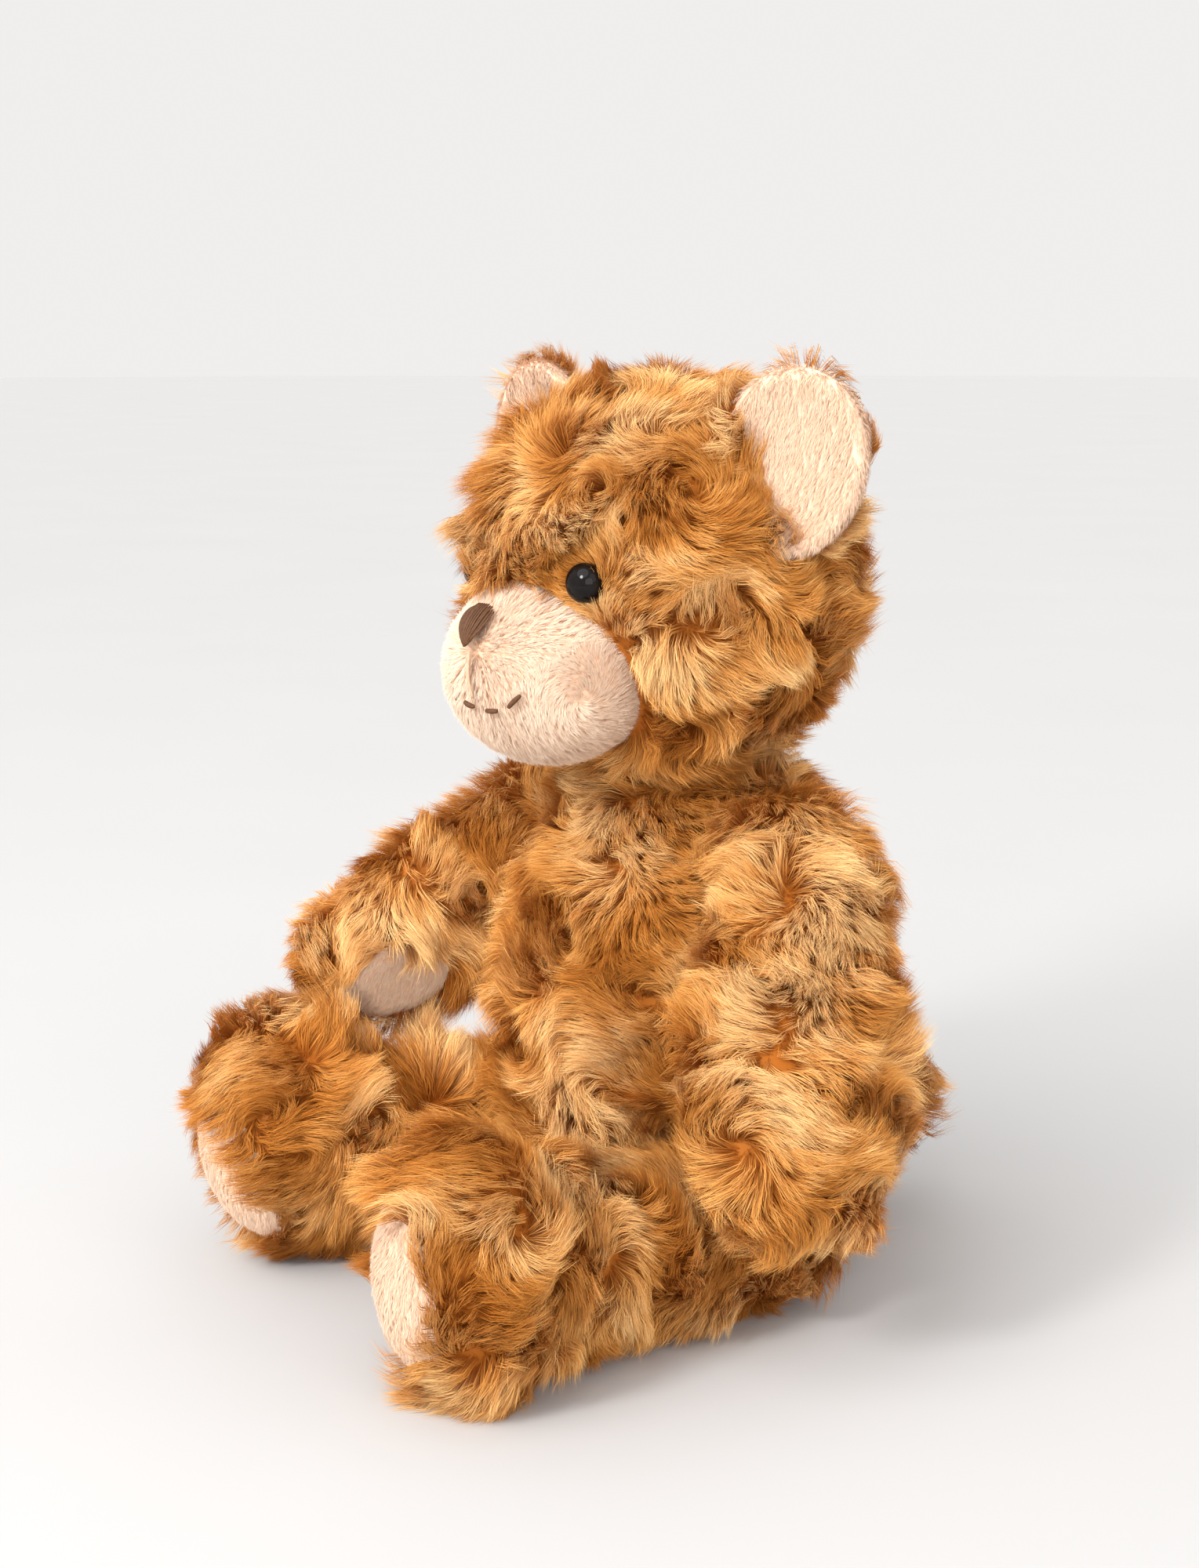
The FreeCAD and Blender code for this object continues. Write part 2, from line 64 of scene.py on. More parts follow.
# ------------------------------------------------------------------ sizes, in millimetres
GAP = 0.3
BASE = 2.2                                   # how far the cloth lies below the middle of the pile
BODY_HALF, NECK_Z, NECK_Y = 46.5, 128.0, -4.0
BODY_PROFILE = [(0.0, 0.64), (0.06, 0.83), (0.16, 0.955), (0.30, 1.0), (0.47, 0.99), (0.64, 0.945),
                (0.77, 0.865), (0.885, 0.73), (1.0, 0.51)]
SHOULDER, LEAN = (39.0, -4.0, 100.0), 30.0
HIP, NOTCH_R, LEG_RISE = (23.5, -8.0, 22.0), 21.2, 12.0
HEAD, HEAD_AT, HEAD_TURN = (48.0, 44.0, 47.0), (0.0, -10.0, 172.0), 5.0
MUZZLE, MUZZLE_AT = (28.3, 24.3, 23.2), (0.0, -44.0, 153.2)
EYE_X, EYE_Z = 21.5, 175.5
DENSE = 7.5                                  # strands of pile on a square millimetre
EAR, EAR_AT, EAR_LEAN, EAR_TURN = (20.0, 9.0, 23.0), (47.0, -11.0, 202.0), 22.0, {1: 24.0, -1: 2.0}
EAR_WALL, EAR_LINING = 3.5, 2.0
TAIL_R, TAIL_AT = 14.5, (0.0, 57.5, 34.0)
ARM = dict(reach=58.0, top=(19.5, 14.0), mid=(22.0, 14.5), low=(24.0, 14.9), tip=(24.5, 15.0),
           rise=19.0, long=27.0, lift=0.0, out=0.0)
LEG = dict(reach=82.0, top=(20.0, 18.6), mid=(19.4, 18.6), low=(22.5, 19.5), tip=(30.5, 21.3),
           rise=20.0, long=25.0, lift=8.5, out=5.5)
FLAT = 2.2
SWING = {"arm": {1: 22.0, -1: 47.0}, "leg": {1: 0.0, -1: 3.0}}
PALM_R, PALM_BEYOND, SOLE_START = 14.5, 6.0, 12.5
SOLE_TILT = {1: (0.22, 0.12), -1: (0.0, 0.42)}
SEAM_BEND = 0.012
SIDES = {1: "left", -1: "right"}
CROOK, CROOK_REACH = np.array([-51.0, -39.0, 51.0]), 15.0    # between the right paw, the body and the right thigh
CROOK_LONGER, CROOK_PULL = 1.1, 6.0          # how much longer the pile is there, and how firmly it is combed to it
FAR_PALM = (-62.0, -49.0, 62.0)


# ------------------------------------------------------------------ small vector helpers
def unit(v):
    return v / np.maximum(np.linalg.norm(v, axis=-1, keepdims=True), 1e-9)


def about(axis, degrees):
    """Rotation matrix about a world axis."""
    return np.array(Matrix.Rotation(math.radians(degrees), 3, Vector(axis)))


class Frame:
    """A turn and a shift, from a piece's own axes to the row's."""

    def __init__(self, turn=None, shift=(0, 0, 0)):
        self.turn = np.eye(3) if turn is None else turn
        self.shift = np.array(shift, float)

    def out(self, p):
        return p @ self.turn.T + self.shift

    def back(self, p):
        return (p - self.shift) @ self.turn

    def then(self, other):
        return Frame(other.turn @ self.turn, other.turn @ self.shift + other.shift)


def hermite(xs, ys, x):
    """Smooth curve through points, level at both ends."""
    xs, ys = np.array(xs, float), np.array(ys, float)
    slope = np.zeros(len(xs))
    step = np.diff(ys) / np.diff(xs)
    inner = np.where(step[:-1] * step[1:] > 0, 2 * step[:-1] * step[1:] / (step[:-1] + step[1:] + 1e-12), 0)
    slope[1:-1] = inner
    i = np.clip(np.searchsorted(xs, x) - 1, 0, len(xs) - 2)
    h = xs[i + 1] - xs[i]
    t = (x - xs[i]) / h
    return ((1 + 2 * t) * (1 - t) ** 2 * ys[i] + t * (1 - t) ** 2 * h * slope[i]
            + t * t * (3 - 2 * t) * ys[i + 1] + t * t * (t - 1) * h * slope[i + 1])


# ------------------------------------------------------------------ closed soft forms
class Form:
    """A closed triangle surface: points, faces and a smooth normal at each point."""

    def __init__(self, rows):
        count, around = rows.shape[:2]
        low, high = rows[0].mean(0), rows[-1].mean(0)
        self.points = np.vstack([rows.reshape(-1, 3), low, high])
        faces = []
        for r in range(count - 1):
            a = r * around + np.arange(around)
            b = r * around + (np.arange(around) + 1) % around
            faces += [np.stack([a, b, b + around], 1), np.stack([a, b + around, a + around], 1)]
        a, b = np.arange(around), (np.arange(around) + 1) % around
        last = (count - 1) * around
        faces.append(np.stack([b, a, np.full(around, count * around)], 1))
        faces.append(np.stack([last + a, last + b, np.full(around, count * around + 1)], 1))
        self.faces = np.vstack(faces)
        self.settle()

    def settle(self):
        p = self.points[self.faces]
        cross = np.cross(p[:, 1] - p[:, 0], p[:, 2] - p[:, 0])
        if np.einsum("ij,ij->", p.mean(1) - self.points.mean(0), cross) < 0:
            self.faces = self.faces[:, ::-1]
            cross = -cross
        self.area = np.linalg.norm(cross, axis=1) / 2
        normals = np.zeros_like(self.points)
        for corner in range(3):
            np.add.at(normals, self.faces[:, corner], cross)
        self.normals = unit(normals)

    def moved(self, frame):
        self.points = frame.out(self.points)
        self.settle()
        return self

    def scatter(self, count, rng):
        """Random places spread evenly by area, with their normals."""
        face = rng.choice(len(self.faces), count, p=self.area / self.area.sum())
        a, b = rng.random(count), rng.random(count)
        flip = a + b > 1
        a, b = np.where(flip, 1 - a, a), np.where(flip, 1 - b, b)
        share = np.stack([1 - a - b, a, b], 1)[:, :, None]
        corners = self.faces[face]
        return (self.points[corners] * share).sum(1), unit((self.normals[corners] * share).sum(1))


def ball(halves, at, around=64, rows=40):
    up = np.linspace(-math.pi / 2 + 0.03, math.pi / 2 - 0.03, rows)[:, None]
    turn = np.linspace(0, 2 * math.pi, around, endpoint=False)[None, :]
    unit_ball = np.stack([np.cos(up) * np.cos(turn), np.cos(up) * np.sin(turn), np.sin(up) + 0 * turn], -1)
    return Form(unit_ball * np.array(halves) + np.array(at))


def limb_form(limb, side, inset):
    """A limb in its own axes: it runs along -Z, is wide along Y and lies outside the plane X = 0."""
    bend = np.linspace(math.pi / 2 - 0.05, 0.0, 12)
    levels = [math.sin(b) * (limb["rise"] - inset) for b in bend]
    shrink = [math.cos(b) for b in bend]
    along = np.linspace(0, -limb["reach"], 26)[1:-1]
    knots = [0, 0.5 * limb["reach"], limb["reach"] - 0.7 * limb["long"], limb["reach"]]
    levels += list(along) + [-limb["reach"] - math.sin(b) * (limb["long"] - inset) for b in bend[::-1]]
    shrink += [1.0] * len(along) + [math.cos(b) for b in bend[::-1]]
    levels, shrink = np.array(levels), np.array(shrink)
    depth = np.clip(-levels, 0, limb["reach"])
    parts = [limb[k] for k in ("top", "mid", "low", "tip")]
    wide = hermite(knots, [p[0] for p in parts], depth) - inset
    thick = hermite(knots, [p[1] for p in parts], depth) - inset
    share = hermite(knots, [0.0, 0.1, 0.4, 1.0], depth)
    off = hermite(knots, [p[1] - FLAT for p in parts], depth) + share * limb["out"]
    turn = np.linspace(0, 2 * math.pi, 56, endpoint=False)[None, :]
    x = off[:, None] + (shrink * thick)[:, None] * np.cos(turn)
    y = -(share * limb["lift"])[:, None] + (shrink * wide)[:, None] * np.sin(turn)
    z = levels[:, None] + 0 * turn
    x = np.maximum(x, inset)
    return Form(np.stack([side * x, y, z], -1))


def body_form(inset):
    """The pear-shaped body with its shoulder flats and thigh notches."""
    share = np.concatenate([[0.0], np.linspace(0.004, 0.996, 60), [1.0]])
    half = hermite([p[0] for p in BODY_PROFILE], [p[1] for p in BODY_PROFILE], share) * BODY_HALF - inset
    half[0] -= 3.0
    half[-1] -= 3.0
    z = inset + share * (NECK_Z - 2 * inset)
    turn = np.linspace(0, 2 * math.pi, 120, endpoint=False)[None, :]
    rows = np.stack([half[:, None] * np.cos(turn), half[:, None] * np.sin(turn), z[:, None] + 0 * turn], -1)
    form = Form(rows)
    p = form.points
    for side in SIDES:
        flat = shoulder_frame(side)
        own = flat.back(p)
        own[:, 0] = side * np.minimum(side * own[:, 0], -GAP - inset)
        p = flat.out(own)
        inside = in_notch(p, side, inset)
        p[inside, 0] = side * (HIP[0] - GAP - inset)
    form.points = p
    form.settle()
    return form


def in_notch(p, side, deep):
    """Whether points lie in the room the body leaves for a thigh."""
    y, z = p[:, 1] - HIP[1], p[:, 2] - HIP[2]
    tilt = math.radians(LEG_RISE)
    over = z * math.cos(tilt) + y * math.sin(tilt)
    round_end = y * y + z * z < (NOTCH_R + deep) ** 2
    front = (y < 0) & (over < NOTCH_R + deep)
    below = (z < 0) & (y < NOTCH_R + deep)
    return (side * p[:, 0] > HIP[0] - GAP - deep) & (round_end | front | below)


def shoulder_frame(side):
    return Frame(about((0, 1, 0), -side * LEAN), (side * SHOULDER[0], SHOULDER[1], SHOULDER[2]))


def limb_frame(kind, side):
    swing = Frame(about((1, 0, 0), -SWING[kind][side]))
    if kind == "arm":
        return swing.then(shoulder_frame(side))
    return swing.then(Frame(about((1, 0, 0), -90), (side * HIP[0], HIP[1], HIP[2])))


HEAD_FRAME = Frame(about((0, 0, 1), HEAD_TURN))
HEAD_FRAME.shift = np.array([0, NECK_Y, 0]) - HEAD_FRAME.turn @ np.array([0, NECK_Y, 0])


# ------------------------------------------------------------------ materials
def material(name, base, roughness=0.6, sheen=0.0):
    made = bpy.data.materials.new(name)
    made.use_nodes = True
    shader = made.node_tree.nodes["Principled BSDF"]
    shader.inputs["Base Color"].default_value = (*base, 1)
    shader.inputs["Roughness"].default_value = roughness
    shader.inputs["Sheen Weight"].default_value = sheen
    return made


def ramp(tree, stops, source):
    node = tree.nodes.new("ShaderNodeValToRGB")
    while len(node.color_ramp.elements) < len(stops):
        node.color_ramp.elements.new(0.5)
    for element, (place, colour) in zip(node.color_ramp.elements, stops):
        element.position = place
        element.color = (*colour, 1)
    tree.links.new(source, node.inputs["Fac"])
    return node.outputs["Color"]


def grained(name, dark, light, scale, roughness, relief=0.0, uneven=0.0):
    """A material whose colour, gloss and surface drift a little with a fine grain."""
    made = material(name, light, roughness)
    tree = made.node_tree
    shader = tree.nodes["Principled BSDF"]
    where = tree.nodes.new("ShaderNodeTexCoord")
    grain = tree.nodes.new("ShaderNodeTexNoise")
    grain.inputs["Scale"].default_value = scale
    grain.inputs["Detail"].default_value = 5
    tree.links.new(where.outputs["Object"], grain.inputs["Vector"])
    tree.links.new(ramp(tree, [(0.3, dark), (0.7, light)], grain.outputs["Fac"]), shader.inputs["Base Color"])
    if uneven:
        gloss = tree.nodes.new("ShaderNodeMapRange")
        gloss.inputs["To Min"].default_value = roughness - uneven
        gloss.inputs["To Max"].default_value = roughness + uneven
        tree.links.new(grain.outputs["Fac"], gloss.inputs["Value"])
        tree.links.new(gloss.outputs["Result"], shader.inputs["Roughness"])
    if relief:
        bump = tree.nodes.new("ShaderNodeBump")
        bump.inputs["Strength"].default_value = relief
        bump.inputs["Distance"].default_value = 0.0002
        tree.links.new(grain.outputs["Fac"], bump.inputs["Height"])
        tree.links.new(bump.outputs["Normal"], shader.inputs["Normal"])
    return made


def pile_material(name, root, tones, reach, roughness, sheen, specular=0.3):
    """Pile whose colour runs from the root to a tone of its own, both read from its map; the tips' lightening is
    partly own colour, partly painted light through them.
    """
    made = material(name, tones[0][1], roughness, sheen)
    tree = made.node_tree
    where = tree.nodes.new("ShaderNodeUVMap")
    where.uv_map = "OFBake"
    split = tree.nodes.new("ShaderNodeSeparateXYZ")
    tree.links.new(where.outputs["UV"], split.inputs["Vector"])
    tone = ramp(tree, tones, split.outputs["X"])
    rise = tree.nodes.new("ShaderNodeMapRange")
    rise.interpolation_type = "SMOOTHSTEP"
    rise.inputs["From Min"].default_value = 0.0
    rise.inputs["From Max"].default_value = reach
    tree.links.new(split.outputs["Y"], rise.inputs["Value"])
    mix = tree.nodes.new("ShaderNodeMix")
    mix.data_type = "RGBA"
    colours = [s for s in mix.inputs if s.type == "RGBA"]
    colours[0].default_value = (*root, 1)
    tree.links.new(tone, colours[1])
    tree.links.new(rise.outputs["Result"], mix.inputs["Factor"])
    shader = tree.nodes["Principled BSDF"]
    tree.links.new([s for s in mix.outputs if s.type == "RGBA"][0], shader.inputs["Base Color"])
    shader.inputs["Specular IOR Level"].default_value = specular
    shader.inputs["Specular Tint"].default_value = (*tones[-1][1], 1)
    return made


# brown root colour: the pile's own darker root, kept bright orange as painted glow in the shaded gaps between
# strands
BROWN = pile_material(
    "brown_pile", (0.40, 0.118, 0.015),
    [(0.0, (0.37, 0.115, 0.015)), (0.35, (0.58, 0.225, 0.040)), (0.65, (0.76, 0.375, 0.105)),
     (1.0, (0.93, 0.62, 0.28))],
    0.7, 0.42, 0.0)
CREAM = pile_material(
    "cream_pile", (0.81, 0.56, 0.385),
    [(0.0, (0.825, 0.565, 0.385)), (0.5, (0.865, 0.655, 0.49)), (1.0, (0.905, 0.755, 0.61))],
    0.5, 0.75, 0.1, 0.1)
EYE = grained("eye_black", (0.004, 0.003, 0.003), (0.009, 0.007, 0.006), 400, 0.05, uneven=0.02)
EYE.node_tree.nodes["Principled BSDF"].inputs["Specular IOR Level"].default_value = 0.16
THREAD = grained("brown_thread", (0.085, 0.036, 0.016), (0.150, 0.068, 0.032), 1500, 0.55, 0.3)
THREAD.node_tree.nodes["Principled BSDF"].inputs["Specular IOR Level"].default_value = 0.2
TAN_THREAD = grained("tan_thread", (0.56, 0.35, 0.22), (0.68, 0.45, 0.30), 1500, 0.6, 0.3)
FILLING = grained("filling", (0.78, 0.78, 0.76), (0.90, 0.90, 0.88), 500, 0.9, 0.8)
PLASTIC = grained("joint_plastic", (0.72, 0.72, 0.69), (0.78, 0.78, 0.75), 700, 0.45, 0.15, 0.05)
STEEL = grained("lock_steel", (0.56, 0.56, 0.58), (0.64, 0.64, 0.66), 900, 0.3, 0.1, 0.08)
STEEL.node_tree.nodes["Principled BSDF"].inputs["Metallic"].default_value = 1.0


# ------------------------------------------------------------------ making mesh objects
def mesh_object(name, points, faces, material_made, uv=None, sizes=None):
    """An object from points in millimetres and faces of three or four corners."""
    mesh = bpy.data.meshes.new(name)
    flat = np.ascontiguousarray(faces, dtype=np.int32).ravel()
    sizes = np.full(len(faces), faces.shape[1], np.int32) if sizes is None else sizes
    mesh.vertices.add(len(points))
    mesh.vertices.foreach_set("co", (points * MM).astype(np.float32).ravel())
    mesh.loops.add(len(flat))
    mesh.loops.foreach_set("vertex_index", flat)
    mesh.polygons.add(len(sizes))
    mesh.polygons.foreach_set("loop_start", np.concatenate([[0], np.cumsum(sizes)[:-1]]).astype(np.int32))
    mesh.update(calc_edges=True)
    mesh.polygons.foreach_set("use_smooth", np.ones(len(sizes), bool))
    if uv is not None:
        layer = mesh.uv_layers.new(name="OFBake")
        layer.uv.foreach_set("vector", uv.astype(np.float32)[flat].ravel())
    mesh.materials.append(material_made)
    made = bpy.data.objects.new(name, mesh)
    bpy.context.scene.collection.objects.link(made)
    return made


STRIP = np.array([0, 1, 3, 2, 2, 3, 4])
STRIP_SIZES = np.array([4, 3])
LEVELS = np.array([0.0, 0.5, 1.0])


def strands(name, spine, rises, tone, width, roll, made_of, rng):
    """Tapered ribbons, each a quad and a triangle, along spines of three points."""
    count = len(spine)
    spine = spine.copy()
    spine[:, :, 2] = np.maximum(spine[:, :, 2], 0.25)
    along = unit(spine[:, 2] - spine[:, 0])
    facing = unit(rises + roll * rng.normal(size=rises.shape))
    across = unit(np.cross(along, facing)) * 0.5 * width[:, None]
    points = np.empty((count, 5, 3))
    points[:, 0] = spine[:, 0] - across
    points[:, 1] = spine[:, 0] + across
    points[:, 2] = spine[:, 1] - 0.85 * across
    points[:, 3] = spine[:, 1] + 0.85 * across
    points[:, 4] = spine[:, 2]
    uv = np.empty((count, 5, 2))
    # the tip takes a lighter tone: partly the pile's own colour, partly painted light shining through the tip
    uv[:, :, 0] = tone[:, None] + np.array([-0.012, 0.012, -0.012, 0.012, 0.16])
    uv[:, :, 1] = LEVELS[[0, 0, 1, 1, 2]]
    uv = np.clip(uv, 0.002, 0.998).reshape(-1, 2)
    faces = (np.arange(count)[:, None] * 5 + STRIP[None, :]).ravel()
    sizes = np.tile(STRIP_SIZES, count).astype(np.int32)
    return mesh_object(name, points.reshape(-1, 3), faces, made_of, uv, sizes)


def cloth(name, form, made_of, level=0.1, tone=0.3):
    """The woven backing under a pile."""
    uv = np.tile([tone, level], (len(form.points), 1)) + 0.02 * np.sin(form.points[:, :2])
    return mesh_object(name, form.points, form.faces, made_of, uv)


# ------------------------------------------------------------------ curly fur
def waves(rng, length, count=20):
    """A smooth random function of place, about as far from zero as a normal spread."""
    turn = unit(rng.normal(size=(count, 3))) * (2 * math.pi / (length * rng.uniform(0.7, 1.5, count)))[:, None]
    start = rng.random(count) * 2 * math.pi
    return lambda p: np.sin(p @ turn.T + start).sum(1) * math.sqrt(2 / count)


def spaced(p, spacing):
    """Greedy choice of places at least a spacing apart."""
    chosen = []
    free = np.ones(len(p), bool)
    for i in range(len(p)):
        if free[i]:
            chosen.append(i)
            free &= ((p - p[i]) ** 2).sum(1) > spacing * spacing
    return np.array(chosen)


def on_surface(tree, p):
    """The nearest places on a form, and their outward directions."""
    hits = [tree.find_nearest(Vector(q)) for q in p]
    return np.array([h[0] for h in hits]), np.array([h[1] for h in hits])


def clear_room(p, n, others, reach):
    """How much of the reach is free of the other pieces, straight out from each place, from 0 to 1."""
    room = np.ones(len(p))
    for tree in others:
        for i in range(len(p)):
            hit = tree.ray_cast(Vector(p[i] + 0.2 * n[i]), Vector(n[i]), reach)
            if hit[0] is not None:
                room[i] = min(room[i], max(hit[3] - 1.5, 0.0) / reach)
    return room


def in_crook(p):
    """How near places are to the crook between the right paw, the body and the right thigh, from 0 to 1."""
    return np.exp(-((p - CROOK) ** 2).sum(1) / (2 * CROOK_REACH ** 2))


class Swirls:
    """The lie of the pile: a combed way that drifts, with whorls set in it."""

    def __init__(self, form, rng, spacing, comb, comb_share):
        p, _ = form.scatter(1500, rng)
        self.hearts = p[spaced(p, spacing)]
        count = len(self.hearts)
        self.size = spacing * rng.uniform(0.28, 0.44, count)
        self.spin = np.radians(rng.uniform(55, 130, count)) * rng.choice([-1, 1], count)
        self.power = rng.uniform(1.2, 3.4, count)
        self.drift = [waves(rng, 26) for _ in range(3)]
        self.comb, self.comb_share = comb, comb_share

    def way(self, p, n):
        """Direction in which the pile lies at each place."""
        total = self.comb_share * self.comb(p) + np.stack([f(p) for f in self.drift], 1)
        total += CROOK_PULL * in_crook(p)[:, None] * unit(CROOK - p)
        apart = np.linalg.norm(p[:, None, :] - self.hearts[None], axis=2)
        for k in np.argsort(apart, axis=1)[:, :3].T:
            flat = p - self.hearts[k]
            flat -= n * (flat * n).sum(1, keepdims=True)
            share = np.linalg.norm(flat, axis=1) / self.size[k]
            pull = (self.power[k] * share * np.exp(0.5 - share * share / 2))[:, None]
            flat = unit(flat)
            spin = self.spin[k][:, None]
            total += pull * (flat * np.cos(spin) + np.cross(n, flat) * np.sin(spin))
        return unit(total - n * (total * n).sum(1, keepdims=True))


def fur(name, form, density, length, comb, seed, keep=None, spacing=16.0, lock=10, comb_share=0.7,
        width=0.145, others=(), short=None, tone_shift=0.0, budget=190000):
    """Locks of curling pile over a form, in as many objects as keep each one light."""
    rng = np.random.default_rng(seed)
    tree = tree_of(form)
    comb_at = comb if callable(comb) else lambda p: np.tile(np.array(comb, float), (len(p), 1))
    swirls = Swirls(form, rng, spacing, comb_at, comb_share)
    raised, patches, flecks = waves(rng, 15), waves(rng, 24), waves(rng, 8)
    p, n = form.scatter(int(form.area.sum() * density / lock), rng)
    if keep is not None:
        good = keep(p)
        p, n = p[good], n[good]
    locks = len(p)
    room = clear_room(p, n, others, 12.0)
    if short is not None:
        room = np.minimum(room, short(p))
    lift = np.clip(0.72 + 0.17 * raised(p) + rng.normal(0, 0.07, locks), 0.3, 1.1) * (0.3 + 0.7 * room)
    size = length * np.clip(0.95 + 0.08 * raised(p), 0.7, 1.15)
    size = size * rng.uniform(0.93, 1.07, locks) * (0.5 + 0.5 * room)
    size *= 1 + CROOK_LONGER * in_crook(p)
    # lock tone: random patches and flecks, plus painted shade, since the lift term darkens locks that lie low
    # where the pile parts or another piece crowds it
    lock_tone_and_shade = 0.45 + 0.22 * patches(p) + 0.07 * flecks(p) + 0.25 * (lift - 0.6) + rng.normal(0, 0.05, locks)

    line = [p]
    here, out = p, n
    for level, rise in ((0.5, 0.62), (1.0, 0.86)):
        way = swirls.way(here, out) + 0.17 * rng.normal(size=here.shape)
        here, out = on_surface(tree, here + way * (0.5 * size * (1 - 0.55 * lift))[:, None])
        line.append(here + out * (size * lift * rise)[:, None])
    line = np.stack(line, 1)

    i = np.repeat(np.arange(locks), lock)
    radius = 1.6 * math.sqrt(lock / density / math.pi)
    angle, reach = rng.random(len(i)) * 2 * math.pi, radius * np.sqrt(rng.random(len(i)))
    way = unit(line[:, 1] - p)
    way = unit(way - n * (way * n).sum(1, keepdims=True))
    side = np.cross(n, way)
    first = way[i] * (reach * np.cos(angle))[:, None] + side[i] * (reach * np.sin(angle))[:, None]
    if keep is not None:
        good = keep(p[i] + first)
        i, first = i[good], first[good]
    count = len(i)
    move = (line[i] - line[i, :1]) * rng.uniform(0.86, 1.07, (count, 1, 1))
    loose = rng.normal(0, 0.042, (count, 1, 3)) * size[i][:, None, None] * LEVELS[:, None] ** 1.5
    gather = 1 - 0.28 * LEVELS[:, None] ** 1.4
    spine = p[i][:, None] + move + first[:, None] * gather + loose
    spine[:, 0] -= 0.3 * n[i]
    tone = np.clip(lock_tone_and_shade[i] + rng.normal(0, 0.07, count) + tone_shift, 0.02, 0.98)
    wide = width * rng.uniform(0.7, 1.3, count)
    parts = max(1, math.ceil(count * 3 / budget))
    made = []
    order = np.argsort(spine[:, 0, 1] + 0.6 * spine[:, 0, 0] + 0.3 * spine[:, 0, 2], kind="stable")
    for k, rows in enumerate(np.array_split(order, parts)):
        rows = np.sort(rows)
        label = name if parts == 1 else f"{name}_{k + 1}"
        made.append(strands(label, spine[rows], n[i][rows], tone[rows], wide[rows], 0.35, BROWN, rng))
    return made


def nap(name, form, density, length, comb, seed, keep=None, lift=0.42, width=0.12, lock=6, tone=0.6,
        loose=0.07):
    """Short pile that follows a combed direction."""
    rng = np.random.default_rng(seed)
    flecks = waves(rng, 5)
    p, n = form.scatter(int(form.area.sum() * density / lock), rng)
    if keep is not None:
        good = keep(p)
        p, n = p[good], n[good]
    way = comb(p, n)
    way = unit(way - n * (way * n).sum(1, keepdims=True) + 0.16 * rng.normal(size=p.shape))
    way = unit(way - n * (way * n).sum(1, keepdims=True))
    side = np.cross(n, way)
    i = np.repeat(np.arange(len(p)), lock)
    radius = 1.3 * math.sqrt(lock / density / math.pi)
    angle, reach = rng.random(len(i)) * 2 * math.pi, radius * np.sqrt(rng.random(len(i)))
    first = way[i] * (reach * np.cos(angle))[:, None] + side[i] * (reach * np.sin(angle))[:, None]
    if keep is not None:
        good = keep(p[i] + first)
        i, first = i[good], first[good]
    count = len(i)
    own = length * rng.uniform(0.8, 1.15, count)
    tall = lift * np.clip(1 + 0.10 * flecks(p)[i] + rng.normal(0, 0.08, count), 0.5, 1.5)
    up = n[i][:, None] * (own * tall)[:, None, None] * np.array([-0.06, 0.62, 0.9])[:, None]
    run = way[i][:, None] * (own * (1 - 0.5 * tall))[:, None, None] * np.array([0.0, 0.45, 1.0])[:, None]
    stray = rng.normal(0, loose, (count, 1, 3)) * own[:, None, None] * LEVELS[:, None]
    spine = p[i][:, None] + first[:, None] * (1 - 0.3 * LEVELS[:, None]) + up + run + stray
    shade = np.clip(tone + 0.04 * flecks(p)[i] + rng.normal(0, 0.08, count), 0.02, 0.98)
    return strands(name, spine, n[i], shade, width * rng.uniform(0.7, 1.3, count), 0.12, CREAM, rng)


def tree_of(form):
    return BVHTree.FromPolygons([Vector(p) for p in form.points], form.faces.tolist())


def patch(name, form, keep, lift, made_of, tone=0.5):
    """The part of a form where keep holds, raised a little, as its own piece of cloth."""
    middle = form.points[form.faces].mean(1)
    faces = form.faces[keep(middle)]
    used, faces = np.unique(faces, return_inverse=True)
    points = form.points[used] + form.normals[used] * lift
    uv = np.tile([tone, 0.5], (len(points), 1)) + 0.02 * np.sin(points[:, :2])
    return mesh_object(name, points, faces.reshape(-1, 3), made_of, uv)


def tubes(name, paths, radius, made_of, sides=8, taper=0.55):
    """Threads as tubes, each along a row of points."""
    points, faces, base = [], [], 0
    turn = np.linspace(0, 2 * math.pi, sides, endpoint=False)
    for path, size in zip(paths, np.broadcast_to(radius, len(paths))):
        way = unit(np.gradient(path, axis=0))
        side = unit(np.cross(way, np.array([0.1, 1.0, 0.2])))
        up = np.cross(side, way)
        share = np.linspace(0, 1, len(path))
        wide = size * (taper + (1 - taper) * np.sin(math.pi * share) ** 0.35)
        ring = side[:, None] * np.cos(turn)[:, None] + up[:, None] * np.sin(turn)[:, None]
        rows = path[:, None] + ring * wide[:, None, None]
        form = Form(rows)
        points.append(form.points)
        faces.append(form.faces + base)
        base += len(form.points)
    return mesh_object(name, np.vstack(points), np.vstack(faces), made_of)


def assemble(base, pile, body, nodes=()):
    """Parent the pile to its cloth, let the cloth ride on a body and hide the CAD nodes it stands in for."""
    for piece in pile:
        piece.parent = base
    if nodes:
        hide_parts(*nodes)
    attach(base, body)


# ------------------------------------------------------------------ camera, light and floor
FLOOR_HALF, FLOOR_SIDES = 9000, 96
TARGET = Vector((1.3, -14.9, 110.0)) * MM
AZIMUTH, ELEVATION, DISTANCE = math.radians(57), math.radians(12), 0.6
back = Vector((math.sin(AZIMUTH) * math.cos(ELEVATION), -math.cos(AZIMUTH) * math.cos(ELEVATION),
               math.sin(ELEVATION)))


